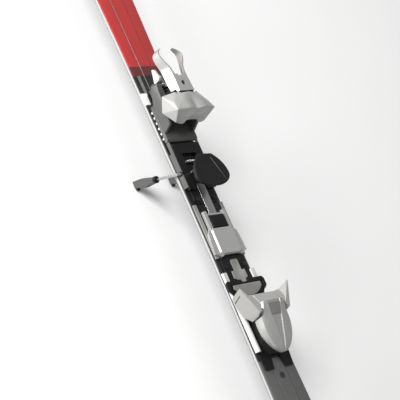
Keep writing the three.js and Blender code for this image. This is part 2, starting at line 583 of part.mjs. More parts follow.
function toeWings() {
  const [px, py] = TOE.wingPivot;
  for (const [side, sign] of [['left', 1], ['right', -1]]) {
    const body = hull([
      [164, 61, 54.5], [166, 56.5, 53.5], [171.5, 60, 29], [184.5, 50, 19.5], [206, 45, 22.6], [218, 36, 29],
      [215.5, 34.5, 45], [211, 34, 56], [203, 31.5, 56], [203, 31.5, 30], [178, 40, 26], [176, 40, 42],
      [182, 36.8, 45], [192, 37, 22],
    ].map(([x, y, z]) => [x, sign * y, z]));
    const wing = cut(body, rodUp(BORE, px, sign * py, 10, 70));
    add(`wing_${side}`, wing, SILVER);
    add(`wing_pin_${side}`, rodUp(PIN, px, sign * py, 28.2, 52), STEEL);
  }
}

function toeInternals() {
  const { springZ, screwZ } = TOE;
  add('toe_spring', coil(6, 34, 7, 1.2), STEEL, [217, 0, springZ]);
  const head = rodAlong(TOE.bore - 0.6, 0, springZ, 209, 213.5);
  add('toe_plunger', join(head, rodAlong(3.4, 0, springZ, 213, 236)), STEEL);
  const screw = rodAlong(TOE.screw, 0, screwZ, 259, 277, 24);
  add('toe_release_screw', cut(screw, block([275.6, -8, screwZ - 0.9], [280, 8, screwZ + 0.9])), STEEL);
}

// ---------------------------------------------------------------- screws in the tracks
function trackScrews() {
  const spots = [[-22, 20], [-22, -20], [108, 22], [108, -22]];
  spots.forEach(([x, y], index) => {
    const z0 = x < 0 ? TRACK_TOP + 0.4 : TOE.plateTop + GAP;
    const head = rodUp(4.6, x, y, z0, z0 + 2, 18);
    const cross = [block([x - 2.8, y - 0.6, z0 + 1], [x + 2.8, y + 0.6, z0 + 3]),
      block([x - 0.6, y - 2.8, z0 + 1], [x + 0.6, y + 2.8, z0 + 3])];
    add(`track_screw_${index + 1}`, cut(head, ...cross), BLACK);
  });
}

skiBody();
heelTrack();
heelCarriage();
heelHousing();
heelFrame();
heelCup();
heelLever();
heelInternals();
brakeBase();
brakeArms();
brakePedal();
centreAdjuster();
toeTrack();
toeCarriage();
toePad();
toeHousing();
toeWings();
toeInternals();
trackScrews();

export default ski;
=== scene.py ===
# Studio scene of an alpine ski with its rail binding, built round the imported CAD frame.
# Metres. +X points to the tip, +Y to the skier's left, +Z up; lengths in mm() are millimetres.
import json
import math
from itertools import product

import bmesh
import bpy
from mathutils import Matrix, Vector


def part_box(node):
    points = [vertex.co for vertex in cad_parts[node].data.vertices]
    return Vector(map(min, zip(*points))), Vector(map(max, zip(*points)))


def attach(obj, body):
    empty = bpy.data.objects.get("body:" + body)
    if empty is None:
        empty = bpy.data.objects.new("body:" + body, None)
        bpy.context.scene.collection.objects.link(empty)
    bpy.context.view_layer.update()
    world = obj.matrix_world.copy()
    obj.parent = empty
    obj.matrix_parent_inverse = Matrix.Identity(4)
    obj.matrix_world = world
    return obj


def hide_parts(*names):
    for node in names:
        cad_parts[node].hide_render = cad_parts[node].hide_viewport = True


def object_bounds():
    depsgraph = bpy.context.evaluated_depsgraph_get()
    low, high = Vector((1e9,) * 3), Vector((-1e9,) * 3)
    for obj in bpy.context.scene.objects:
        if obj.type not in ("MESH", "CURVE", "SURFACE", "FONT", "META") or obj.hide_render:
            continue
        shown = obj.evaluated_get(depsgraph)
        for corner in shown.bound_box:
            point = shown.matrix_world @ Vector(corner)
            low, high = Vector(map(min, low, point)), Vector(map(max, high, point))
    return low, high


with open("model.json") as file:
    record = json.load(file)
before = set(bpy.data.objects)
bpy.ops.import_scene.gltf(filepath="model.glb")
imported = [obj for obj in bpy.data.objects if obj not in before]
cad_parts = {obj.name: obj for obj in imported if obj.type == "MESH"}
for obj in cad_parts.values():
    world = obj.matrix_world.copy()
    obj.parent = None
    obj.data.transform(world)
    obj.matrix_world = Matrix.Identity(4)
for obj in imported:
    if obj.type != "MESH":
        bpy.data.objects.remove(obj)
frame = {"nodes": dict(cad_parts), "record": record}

CAD_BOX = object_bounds()
NODES = frame["nodes"]
BODY_OF = {
    node: body
    for body, members in frame["record"]["behaviour"]["bodies"].items()
    for node in members
}
SLOT_OF = {part["node"]: part["material_slot"] for part in frame["record"]["subparts"]}

# The ski's outline, in millimetres: the sidecut is a radius, the rises are of the ends above the base,
# and the tip and tail start to close in at "tip_wide" and "tail_wide", aiming a little past the ends.
SKI = {
    "waist_x": -15, "waist_half": 37.5, "sidecut": 14420,
    "tip_wide": 795, "tip_past": 2, "tip_power": 2.4,
    "tail_wide": -690, "tail_past": 8, "tail_power": 4, "tail_corner": 0.4,
    "tip_rise_from": 560, "tip_rise": 58, "tip_bend": 2.3,
    "tail_rise_from": -640, "tail_rise": 9, "tail_bend": 1.8,
    "full": 330, "thin": 720, "end_thickness": 0.62,
}
SIDES = (("left", 1), ("right", -1))


def mm(*values):
    return Vector([value / 1000 for value in values])


def clamp(value, low=0.0, high=1.0):
    return max(low, min(high, value))


# ------------------------------------------------------------------ materials
# Rubbed edges: how far a surface has to bend, how fast the wear sets in, and the scale that breaks it up.
WEAR_FROM, WEAR_GAIN, WEAR_SCALE = 0.53, 9.0, 260
# The part of a noise's range that is spread over a pair of values.
NOISE_LOW, NOISE_HIGH = 0.3, 0.7
# Scales of the patterns in the finishes, in features to the metre.
FLOW_MARKS, PLASTIC_SHEEN = 26, 140
PAINT_FLAKE, PAINT_CLOUD, PAINT_SHEEN, ORANGE_PEEL = 5200, 18, 700, 420
STEEL_MARKS, WAX_HAZE, RESIN_SHEEN = 60, 9, 300
SHEET_WEAVE, RED_CLOUD, GREY_CLOUD, SHEET_SHEEN, FLOOR_CLOUD = 1500, 5, 4, 90, 3


class Shade:
    """A small builder for one node material, in the frame's own coordinates."""

    def __init__(self, name):
        self.material = bpy.data.materials.new(name)
        self.material.use_nodes = True
        self.tree = self.material.node_tree
        self.shader = self.tree.nodes["Principled BSDF"]
        self.position = self.node("ShaderNodeTexCoord").outputs["Object"]

    def node(self, kind, **values):
        made = self.tree.nodes.new(kind)
        for key, value in values.items():
            setattr(made, key, value)
        return made

    def link(self, source, target):
        self.tree.links.new(source, target)

    def feed(self, socket, value):
        if isinstance(value, bpy.types.NodeSocket):
            self.link(value, socket)
        else:
            socket.default_value = value

    def math(self, operation, first, second=0.0):
        made = self.node("ShaderNodeMath", operation=operation)
        self.feed(made.inputs[0], first)
        self.feed(made.inputs[1], second)
        return made.outputs[0]

    def inside(self, value, low, high):
        """1 where the value lies between the two limits, 0 elsewhere."""
        above = self.math("GREATER_THAN", value, low)
        return self.math("MULTIPLY", above, self.math("LESS_THAN", value, high))

    def axes(self):
        split = self.node("ShaderNodeSeparateXYZ")
        self.link(self.position, split.inputs[0])
        return split.outputs

    def stretched(self, scale):
        mapping = self.node("ShaderNodeMapping")
        mapping.inputs["Scale"].default_value = scale
        self.link(self.position, mapping.inputs["Vector"])
        return mapping.outputs[0]

    def noise(self, scale, detail, vector=None):
        made = self.node("ShaderNodeTexNoise")
        made.inputs["Scale"].default_value = scale
        made.inputs["Detail"].default_value = detail
        self.link(vector or self.position, made.inputs["Vector"])
        return made.outputs["Fac"]

    def cells(self, scale):
        made = self.node("ShaderNodeTexVoronoi")
        made.inputs["Scale"].default_value = scale
        self.link(self.position, made.inputs["Vector"])
        return made.outputs["Distance"]

    def spread(self, value, low, high):
        made = self.node("ShaderNodeMapRange")
        self.link(value, made.inputs["Value"])
        made.inputs["From Min"].default_value = NOISE_LOW
        made.inputs["From Max"].default_value = NOISE_HIGH
        made.inputs["To Min"].default_value = low
        made.inputs["To Max"].default_value = high
        return made.outputs[0]

    def mix(self, factor, first, second):
        made = self.node("ShaderNodeMix", data_type="RGBA")
        self.feed(made.inputs["Factor"], factor)
        self.feed(made.inputs[6], first)
        self.feed(made.inputs[7], second)
        return made.outputs[2]

    def bump(self, height, distance):
        made = self.node("ShaderNodeBump")
        made.inputs["Strength"].default_value = 1.0
        made.inputs["Distance"].default_value = distance
        self.link(height, made.inputs["Height"])
        self.link(made.outputs[0], self.shader.inputs["Normal"])

    def fixed(self, **values):
        for key, value in values.items():
            self.shader.inputs[key.replace("_", " ")].default_value = value

    def worn_edges(self, color, edge, amount):
        """Mixes an edge colour in where the surface bends outwards, broken up by noise."""
        bend = self.node("ShaderNodeNewGeometry").outputs["Pointiness"]
        ridge = self.math("MULTIPLY", self.math("SUBTRACT", bend, WEAR_FROM), WEAR_GAIN)
        broken = self.math("MULTIPLY", ridge, self.noise(WEAR_SCALE, 4))
        limit = self.node("ShaderNodeClamp")
        self.link(self.math("MULTIPLY", broken, amount), limit.inputs["Value"])
        return self.mix(limit.outputs[0], color, edge)

    def paint(self, color):
        self.link(color, self.shader.inputs["Base Color"])

    def rough(self, pattern, low, high):
        self.link(self.spread(pattern, low, high), self.shader.inputs["Roughness"])


def rgb(red, green, blue):
    return (red, green, blue, 1.0)


def shift(color, factor):
    return rgb(*[min(1.0, channel * factor) for channel in color[:3]])


def moulded(name, color, roughness, grain=0.00006, grain_scale=2600, edge=1.5, gloss=0.5):
    """Injection-moulded plastic: fine spark-eroded grain, faint flow marks, rubbed edges."""
    s = Shade(name)
    flow = s.noise(FLOW_MARKS, 4)
    body = s.mix(s.spread(flow, 0, 1), shift(color, 0.9), shift(color, 1.1))
    body = s.worn_edges(body, shift(color, 2.2), edge)
    s.paint(body)
    s.rough(s.noise(PLASTIC_SHEEN, 5), roughness - 0.07, roughness + 0.07)
    s.fixed(Specular_IOR_Level=gloss)
    s.bump(s.noise(grain_scale, 2), grain)
    return s.material


def silver_paint(name, color, metallic, roughness):
    """Silver paint over plastic: fine flake, a slight orange peel and a thin clear coat."""
    s = Shade(name)
    flake = s.cells(PAINT_FLAKE)
    body = s.mix(s.spread(flake, 0, 1), shift(color, 1.06), shift(color, 0.93))
    body = s.mix(s.spread(s.noise(PAINT_CLOUD, 3), 0, 0.5), body, shift(color, 0.93))
    s.paint(body)
    s.rough(s.noise(PAINT_SHEEN, 3), roughness - 0.05, roughness + 0.06)
    s.fixed(Metallic=metallic, Coat_Weight=0.18, Coat_Roughness=0.22)
    s.bump(s.noise(ORANGE_PEEL, 2), 0.00005)
    return s.material


def drawn_steel(name, color, roughness, grain):
    """Ground or drawn steel: fine lines along one direction, with a few darker marks."""
    s = Shade(name)
    lines = s.noise(1.0, 5, s.stretched(grain))
    body = s.mix(s.spread(lines, 0, 1), shift(color, 0.82), shift(color, 1.12))
    body = s.mix(s.spread(s.noise(STEEL_MARKS, 5), 0, 0.25), body, shift(color, 0.6))
    s.paint(body)
    s.rough(lines, roughness - 0.06, roughness + 0.12)
    s.fixed(Metallic=1.0)
    s.bump(lines, 0.00003)
    return s.material


def wood_core(name):
    s = Shade(name)
    grain = s.noise(1.0, 6, s.stretched((14, 420, 420)))
    body = s.mix(s.spread(grain, 0, 1), rgb(0.42, 0.27, 0.13), rgb(0.68, 0.5, 0.3))
    s.paint(body)
    s.fixed(Roughness=0.6)
    s.bump(grain, 0.0001)
    return s.material


def ground_base(name):
    """Running base: black polyethylene with a stone-ground structure and wax haze."""
    s = Shade(name)
    structure = s.noise(1.0, 3, s.stretched((60, 2600, 10)))
    haze = s.noise(WAX_HAZE, 5)
    body = s.mix(s.spread(haze, 0, 1), rgb(0.012, 0.012, 0.014), rgb(0.035, 0.035, 0.038))
    s.paint(body)
    s.rough(haze, 0.34, 0.5)
    s.bump(structure, 0.00008)
    return s.material


def laminate(name, color):
    """Pale sidewall: fine lengthwise layers of glass fibre under resin."""
    s = Shade(name)
    layers = s.noise(1.0, 4, s.stretched((6, 300, 2400)))
    body = s.mix(s.spread(layers, 0, 1), shift(color, 0.86), shift(color, 1.05))
    s.paint(body)
    s.rough(s.noise(RESIN_SHEEN, 3), 0.3, 0.45)
    s.bump(layers, 0.00005)
    return s.material


# The printed sheet, in metres: where its colour fields end along X, and the marks on it as
# from X, to X, from |Y|, to |Y| and colour.
RED_END, BAND_END, FORE_FROM = -0.290, -0.271, 0.282
PATCH_FROM, PATCH_TO = -0.236, -0.213
STRIPE_INK = rgb(0.02, 0.02, 0.02)
MARKS = (
    (BAND_END, PATCH_FROM, 0.0235, 0.0305, rgb(0.17, 0.17, 0.165)),
    (PATCH_FROM, PATCH_TO, 0.025, 0.0392, rgb(0.82, 0.82, 0.8)),
    (-0.212, -0.195, 0.0255, 0.0345, rgb(0.05, 0.05, 0.05)),
    (-0.52, -0.47, 0.0195, 0.0215, STRIPE_INK),
    (0.60, 0.66, 0.0195, 0.0215, STRIPE_INK),
)
DOT_X, DOT_RADIUS = 0.3135, 0.0062
# The two long grooves, as a share of the ski's half-width, and how dark the painted shade in them is.
GROOVE_FROM, GROOVE_TO, GROOVE_SHADE = 0.337, 0.38, 0.8


def sheet_fields(s, x):
    """Red tail, dark red band, black under the binding, grey fore-body."""
    red = s.mix(s.spread(s.noise(RED_CLOUD, 3), 0, 1), rgb(0.41, 0.026, 0.024), rgb(0.46, 0.034, 0.031))
    grey = s.mix(s.spread(s.noise(GREY_CLOUD, 4), 0, 1), rgb(0.078, 0.078, 0.077), rgb(0.1, 0.1, 0.098))
    weave = s.spread(s.cells(SHEET_WEAVE), 0, 1)
    black = s.mix(weave, rgb(0.006, 0.006, 0.0065), rgb(0.016, 0.016, 0.0165))
    body = s.mix(s.math("LESS_THAN", x, BAND_END), black, rgb(0.115, 0.018, 0.018))
    body = s.mix(s.math("LESS_THAN", x, RED_END), body, red)
    return s.mix(s.math("GREATER_THAN", x, FORE_FROM), body, grey)


def groove_shade(s, x, side):
    """A mask of painted shade along the grooves that follow the sidecut on the open part of the sheet."""
    from_waist = s.math("SUBTRACT", x, SKI["waist_x"] / 1000)
    bow = s.math("MULTIPLY", s.math("POWER", from_waist, 2.0), 1000 / (2 * SKI["sidecut"]))
    half = s.math("ADD", bow, SKI["waist_half"] / 1000)
    groove = s.inside(s.math("DIVIDE", side, half), GROOVE_FROM, GROOVE_TO)
    open_sheet = s.math("MAXIMUM", s.math("LESS_THAN", x, RED_END), s.math("GREATER_THAN", x, FORE_FROM))
    return s.math("MULTIPLY", s.math("MULTIPLY", groove, open_sheet), GROOVE_SHADE)


def printed_top(name):
    """The printed sheet with its colour fields, small marks, one dot and painted shade in the two grooves.
    """
    s = Shade(name)
    x, y, _ = s.axes()
    side = s.math("ABSOLUTE", y)
    body = sheet_fields(s, x)
    for x_from, x_to, y_from, y_to, ink in MARKS:
        mark = s.math("MULTIPLY", s.inside(x, x_from, x_to), s.inside(side, y_from, y_to))
        body = s.mix(mark, body, ink)
    from_dot = s.math("ADD", s.math("POWER", s.math("SUBTRACT", x, DOT_X), 2.0), s.math("POWER", y, 2.0))
    body = s.mix(s.math("LESS_THAN", from_dot, DOT_RADIUS ** 2), body, STRIPE_INK)
    # Painted shade: near-black colour laid along the grooves where shadow falls.
    body = s.mix(groove_shade(s, x, side), body, rgb(0.012, 0.012, 0.012))
    s.paint(body)
    s.rough(s.noise(SHEET_SHEEN, 5), 0.36, 0.5)
    s.fixed(Coat_Weight=0.12, Coat_Roughness=0.2)
    s.bump(s.noise(1.0, 4, s.stretched((40, 900, 900))), 0.00003)
    return s.material


def studio_floor(name):
    s = Shade(name)
    body = s.mix(s.spread(s.noise(FLOOR_CLOUD, 3), 0, 1), rgb(0.96, 0.96, 0.955), rgb(0.985, 0.985, 0.98))
    s.paint(body)
    s.fixed(Roughness=0.75)
    return s.material


FINISH = {
    "sintered_base": ground_base("sintered_base"),
    "core_wood": wood_core("core_wood"),
    "edge_steel": drawn_steel("edge_steel", rgb(0.5, 0.5, 0.51), 0.28, (20, 600, 900)),
    "sidewall": laminate("sidewall", rgb(0.42, 0.42, 0.41)),
    "top_sheet": printed_top("top_sheet"),
    "black_plastic": moulded("black_plastic", rgb(0.0075, 0.0075, 0.0075), 0.5, gloss=0.22),
    "charcoal_plastic": moulded(
        "charcoal_plastic", rgb(0.012, 0.012, 0.0125), 0.56, 0.0001, 1700, gloss=0.18),
    "grey_plastic": moulded("grey_plastic", rgb(0.062, 0.061, 0.058), 0.5),
    "light_grey_plastic": moulded("light_grey_plastic", rgb(0.2, 0.197, 0.188), 0.46, edge=0.6),
    "silver_plastic": silver_paint("silver_plastic", rgb(0.4, 0.397, 0.384), 0.3, 0.36),
    "white_plastic": moulded("white_plastic", rgb(0.55, 0.55, 0.535), 0.4, 0.00004, 2000, 0.2),
    "black_metal": moulded("black_metal", rgb(0.009, 0.009, 0.009), 0.42, 0.00003, 900, gloss=0.25),
    "pin_steel": drawn_steel("pin_steel", rgb(0.55, 0.55, 0.56), 0.22, (500, 40, 500)),
    "spring_steel": drawn_steel("spring_steel", rgb(0.48, 0.48, 0.49), 0.26, (30, 700, 900)),
}


# ------------------------------------------------------------------ making pieces
def in_scene(name, data):
    made = bpy.data.objects.new(name, data)
    bpy.context.scene.collection.objects.link(made)
    return made


def extra(name, mesh, body, finish):
    """Puts a mesh on a body, in the finish of a material slot."""
    made = in_scene(name, mesh)
    mesh.materials.clear()
    mesh.materials.append(FINISH[finish])
    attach(made, body)
    return made


def piece(name, mesh, node):
    """Puts a mesh in the place of a CAD node, on that node's body and in its slot."""
    made = extra(name, mesh, BODY_OF[node], SLOT_OF[node])
    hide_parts(node)
    return made


def baked(made):
    """Applies the modifiers to the mesh."""
    graph = bpy.context.evaluated_depsgraph_get()
    mesh = bpy.data.meshes.new_from_object(made.evaluated_get(graph))
    made.modifiers.clear()
    made.data = mesh


# How close CAD points are the same point, in metres, and how flat an edge is none, in degrees.
SAME_POINT, NO_EDGE = 2e-6, 1.0


def shape_of(node):
    """A clean copy of a CAD node's surface, its flat faces merged."""
    form = bmesh.new()
    form.from_mesh(NODES[node].data)
    bmesh.ops.remove_doubles(form, verts=form.verts, dist=SAME_POINT)
    bmesh.ops.dissolve_limit(form, angle_limit=math.radians(NO_EDGE), verts=form.verts, edges=form.edges)
    return form


def smooth(mesh):
    mesh.polygons.foreach_set("use_smooth", [True] * len(mesh.polygons))


def mesh_from(form, name):
    mesh = bpy.data.meshes.new(name)
    form.to_mesh(mesh)
    form.free()
    smooth(mesh)
    return mesh


def shaded(made, width, angle=30, segments=2):
    """Rounds the edges sharper than `angle` by `width` millimetres and shades the rest smooth."""
    bevel = made.modifiers.new("round", "BEVEL")
    bevel.width = width / 1000
    bevel.segments = segments
    bevel.limit_method = "ANGLE"
    bevel.angle_limit = math.radians(angle)
    bevel.harden_normals = True
    bevel.use_clamp_overlap = True
    made.modifiers.new("normals", "WEIGHTED_NORMAL").keep_sharp = True
    baked(made)
    smooth(made.data)


def bevelled(node, width, angle=28):
    """The CAD node with its edges rounded, as a moulded or machined piece has."""
    shaded(piece(f"{node}_rounded", mesh_from(shape_of(node), node), node), width, angle, 3)


def melted(node, voxel, rounds, keep, sculpt):
    """The CAD node remeshed and relaxed into one softly rounded casting, then pushed into shape."""
    made = piece(f"{node}_cast", mesh_from(shape_of(node), node), node)
    remesh = made.modifiers.new("remesh", "REMESH")
    remesh.mode = "VOXEL"
    remesh.voxel_size = voxel / 1000
    relax = made.modifiers.new("relax", "SMOOTH")
    relax.factor = 0.5
    relax.iterations = rounds
    baked(made)
    for vertex in made.data.vertices:
        vertex.co = mm(*sculpt(*(vertex.co * 1000)))
    made.modifiers.new("reduce", "DECIMATE").ratio = keep
    baked(made)
    smooth(made.data)


def hull(name, points):
    """The convex hull of the points, given in millimetres."""
    form = bmesh.new()
    verts = [form.verts.new(mm(*point)) for point in points]
    made = bmesh.ops.convex_hull(form, input=verts)
    spare = [item for item in made["geom_interior"] if isinstance(item, bmesh.types.BMVert)]
    bmesh.ops.delete(form, geom=spare, context="VERTS")
    return mesh_from(form, name)


def block(name, low, high):
    """A box between two corners, in millimetres."""
    return hull(name, list(product(*zip(low, high))))


def skin(name, tubes, crease=180):
    """Closed skins, each through rings of equally many points; edges sharper than `crease` stay sharp."""
    form = bmesh.new()
    for rings in tubes:
        rows = [[form.verts.new(mm(*point)) for point in ring] for ring in rings]
        count = len(rows[0])
        for first, second in zip(rows, rows[1:]):
            for k in range(count):
                after = (k + 1) % count
                form.faces.new((first[k], first[after], second[after], second[k]))
        form.faces.new(rows[0])
        form.faces.new(list(reversed(rows[-1])))
    bmesh.ops.recalc_face_normals(form, faces=form.faces)
    for edge in form.edges:
        if len(edge.link_faces) == 2 and edge.calc_face_angle() > math.radians(crease):
            edge.smooth = False
    return mesh_from(form, name)


def mirrored(points, sign):
    return [(x, sign * y, z) for x, y, z in points]


def both(points):
    return points + mirrored(points, -1)


def blend(t, a, b, c, d):
    square = (2 * a - 5 * b + 4 * c - d) * t * t
    cube = (3 * b - a - 3 * c + d) * t ** 3
    return 0.5 * (2 * b + (c - a) * t + square + cube)


def curve_through(stations, steps):
    """Catmull-Rom points through the stations, `steps` to each span."""
    made = []
    for i in range(len(stations) - 1):
        p0, p1 = stations[max(i - 1, 0)], stations[i]
        p2, p3 = stations[i + 1], stations[min(i + 2, len(stations) - 1)]
        for k in range(steps):
            t = k / steps
            made.append([blend(t, *values) for values in zip(p0, p1, p2, p3)])
    made.append(list(stations[-1]))
    return made


def cylinder(name, radius, start, end, sides=32):
    """A round tool or pin from one point to another, in millimetres."""
    form = bmesh.new()
    line = mm(*end) - mm(*start)
    turn = line.to_track_quat("Z", "Y").to_matrix().to_4x4()
    middle = Matrix.Translation((mm(*start) + mm(*end)) / 2)
    bmesh.ops.create_cone(form, cap_ends=True, segments=sides, radius1=radius / 1000,
                          radius2=radius / 1000, depth=line.length, matrix=middle @ turn)
    return mesh_from(form, name)


def cut_by(made, tools):
    """Cuts the tools out of the piece, then removes them."""
    for mesh in tools:
        tool = in_scene("tool", mesh)
        cut = made.modifiers.new("cut", "BOOLEAN")
        cut.operation = "DIFFERENCE"
        cut.solver = "EXACT"
        cut.object = tool
        baked(made)
        bpy.data.objects.remove(tool)


# ------------------------------------------------------------------ shaped pieces
def bell(value, middle, width):
    return math.exp(-((value - middle) / width) ** 2)


# The cup's brow and front face, in millimetres: how high each lobe stands and how deep the valley
# between them lies, each with its place in Y and its width; where the brow sets in along X and Z;
# and the hollow's depth, half-width, height and reach.
LOBE_LIFT, LOBE_Y, LOBE_WIDTH = 1.6, 19, 9
VALLEY_DROP, VALLEY_WIDTH = 3.4, 7
BROW_X, BROW_RUN, BROW_Z, BROW_DEPTH = -196, 24, 70, 6
HOLLOW_DEPTH, HOLLOW_WIDTH, HOLLOW_Z, HOLLOW_HEIGHT, HOLLOW_X, HOLLOW_RUN = 4.0, 17, 64, 8, -176, 10


def cup_form(x, y, z):
    """Two low lobes and a valley on the cup's brow, and a hollow in its front face."""
    along = clamp((x - BROW_X) / BROW_RUN)
    top = clamp((z - BROW_Z) / BROW_DEPTH)
    lift = LOBE_LIFT * bell(abs(y), LOBE_Y, LOBE_WIDTH) - VALLEY_DROP * bell(y, 0, VALLEY_WIDTH)
    hollow = HOLLOW_DEPTH * bell(y, 0, HOLLOW_WIDTH) * bell(z, HOLLOW_Z, HOLLOW_HEIGHT)
    return x - hollow * clamp((x - HOLLOW_X) / HOLLOW_RUN), y, z + lift * along * top


# Toe nose stations: x, then half-width and height of the valley, ridge, shoulder, widest line and foot.
NOSE = [
    (195, 59.2, 16.5, 60.6, 24.0, 58.6, 28.5, 46.0, 27.0, 30.0),
    (207, 55.8, 14.5, 57.4, 27.0, 55.6, 31.0, 44.0, 29.0, 29.5),
    (219, 52.0, 12.4, 54.0, 27.5, 52.4, 33.5, 42.5, 31.0, 29.0),
    (232, 49.0, 10.6, 51.2, 26.5, 50.0, 35.2, 41.5, 32.0, 29.0),
    (245, 45.8, 8.6, 48.2, 23.5, 47.4, 34.8, 40.0, 31.0, 29.0),
    (257, 43.0, 6.6, 45.4, 19.5, 44.8, 30.5, 38.8, 26.5, 29.0),
    (268, 40.2, 4.7, 42.4, 14.5, 41.8, 23.0, 37.0, 19.5, 29.2),
    (276, 37.8, 3.2, 39.6, 9.5, 38.8, 14.5, 35.0, 11.5, 29.8),
    (281, 35.0, 1.6, 35.6, 4.0, 35.0, 5.0, 32.5, 3.5, 30.8),
]
# The wing's axis in X and Y, and the radius and height range of the room and of the bore on it.
WING_PIVOT = (210, 36)
WING_ROOM = (9.3, 20, 70)
WING_BORE = (2.35, 10, 52.4)
# The saddle behind the nose, from wing to wing.
SADDLE = [(181, 24, 30), (176, 26.6, 44.5), (184, 8, 43.5), (198, 26.6, 55), (198, 18, 54), (200, 26.6, 30)]


# The nose's section between those lines: the ridge's step, width and drop, and how far it swells.
RIDGE_STEP, RIDGE_WIDE, RIDGE_DROP = 0.9, 1.6, 0.7
FLANK_OUT, FLANK_UP, BELLY_OUT = 2.2, 1.4, 0.9


def nose_ring(x, valley, ridge, ridge_z, shoulder, shoulder_z, wide, wide_z, foot, foot_z):
    flank, flank_z = (shoulder + wide) / 2 + FLANK_OUT, (shoulder_z + wide_z) / 2 + FLANK_UP
    belly, belly_z = (wide + foot) / 2 + BELLY_OUT, (wide_z + foot_z) / 2
    side = [
        (ridge - RIDGE_STEP, valley), (ridge, ridge_z), (ridge + RIDGE_WIDE, ridge_z - RIDGE_DROP),
        (shoulder, shoulder_z), (flank, flank_z), (wide, wide_z), (belly, belly_z), (foot, foot_z),
    ]
    left = [(x, y, z) for y, z in side]
    return left + mirrored(reversed(left), -1)


def at_wing(name, sign, radius, low, high):
    """A round tool on a wing's own axis."""
    x, y = WING_PIVOT
    return cylinder(name, radius, (x, sign * y, low), (x, sign * y, high))


def toe_nose():
    rings = [nose_ring(*row) for row in curve_through(NOSE, 4)]
    nose = piece("toe_nose", skin("toe_nose", [rings]), "toe_housing")
    cut_by(nose, [at_wing("room", sign, *WING_ROOM) for _, sign in SIDES])
    shaded(nose, 0.5, 34)
    saddle = piece("toe_saddle", hull("saddle", both(SADDLE)), "toe_housing")
    shaded(saddle, 1.2, 24, 3)


# Lever prong stations: x, outer half-width at the top and bottom, wall, top and bottom height.
PRONG = [
    (-226, 16.5, 25.5, 9.0, 75.5, 60.0),
    (-240, 16.5, 26.0, 5.0, 75.0, 60.0),
    (-252, 19.0, 27.0, 4.0, 75.0, 59.5),
    (-264, 26.0, 30.0, 3.8, 74.5, 59.0),
    (-275, 29.5, 31.5, 3.6, 74.0, 59.5),
    (-283, 26.0, 28.0, 3.4, 73.0, 61.0),
    (-290, 17.0, 18.0, 3.0, 71.0, 64.0),
]
LEVER_ROOT = [
    (-202, 18, 76), (-226, 16.5, 75.5), (-236, 14, 75), (-236, 24.5, 60), (-226, 25.5, 60), (-208, 24, 61),
    (-202, 19.5, 73), (-207, 19.5, 71),
]
# What is cut out of the root: room for the housing, a bay for the cup and the notch between the prongs.
LEVER_CUTS = (
    ("room", (-227, -16.1, 50), (-200, 16.1, 71)),
    ("bay", (-207.4, -60, 50), (-190, 60, 71)),
    ("notch", (-240, -4, 50), (-232, 4, 90)),
)
# The hole for the pole's point: place in X, then radius and height range of the hole and of its floor.
POLE_HOLE_X = -218
POLE_HOLE = (4.6, 60, 90)
POLE_HOLE_FLOOR = (4.8, 71.1, 72.2)


def prong_ring(x, top, bottom, wall, high, low):
    return [(x, top, high), (x, bottom, low), (x, bottom - wall, low), (x, top - wall, high)]


def down_hole(name, radius, low, high):
    """A round tool or plug on the axis of that hole."""
    return cylinder(name, radius, (POLE_HOLE_X, 0, low), (POLE_HOLE_X, 0, high))


def heel_lever():
    rings = [prong_ring(*row) for row in curve_through(PRONG, 5)]
    tubes = [[mirrored(ring, sign) for ring in rings] for sign in (1, -1)]
    shaded(piece("heel_lever_prongs", skin("prongs", tubes), "heel_lever"), 0.55, 40)
    root = piece("heel_lever_root", hull("root", both(LEVER_ROOT)), "heel_lever")
    cut_by(root, [block(*cut) for cut in LEVER_CUTS] + [down_hole("pole_hole", *POLE_HOLE)])
    shaded(root, 0.6, 34)
    extra("pole_hole_floor", down_hole("plug", *POLE_HOLE_FLOOR), "lever", "black_plastic")


# One wing, +Y side: the horn, the two fillets that run in towards the nose, and the slot in its outer face.
WING_HORN = [
    (164, 61, 54.5), (166, 56.5, 53.5), (171.5, 60, 29), (184.5, 50, 19.5), (206, 45, 22.6),
    (218, 36, 29), (215.5, 34.5, 45), (211, 34, 56), (203, 31.5, 56), (203, 31.5, 30), (178, 40, 26),
    (176, 40, 42), (192, 37, 22), (211, 38.5, 55),
]
WING_FILLETS = (
    [(166, 57, 52), (175, 53, 52.5), (190, 46.5, 53), (174.5, 43, 43), (190, 40, 44), (176, 45, 32),
     (190, 42, 28)],
    [(190, 46.5, 53), (211, 34, 55), (205, 31, 53), (197, 27.6, 55), (176, 28, 44.5), (174.5, 43, 43),
     (176, 40, 32), (184, 27.6, 33), (200, 31, 30), (190, 42, 28)],
)
SLOT_ENDS, SLOT_HALF, SLOT_DEEP = ((174.5, 45), (181, 26)), 0.8, (53, 66)
WING_SLOT = [(x + dx, y, z) for x, z in SLOT_ENDS for dx in (-SLOT_HALF, SLOT_HALF) for y in SLOT_DEEP]


def wings():
    for side, sign in SIDES:
        node = f"wing_{side}"
        horn = piece(f"{node}_horn", hull("horn", mirrored(WING_HORN, sign)), node)
        slot = hull("slot", mirrored(WING_SLOT, sign))
        cut_by(horn, [at_wing("bore", sign, *WING_BORE), slot])
        shaded(horn, 1.3, 26, 3)
        for index, points in enumerate(WING_FILLETS):
            fillet = piece(f"{node}_fillet_{index}", hull("fillet", mirrored(points, sign)), node)
            cut_by(fillet, [at_wing("bore", sign, *WING_BORE)])
            shaded(fillet, 1.0, 26, 3)
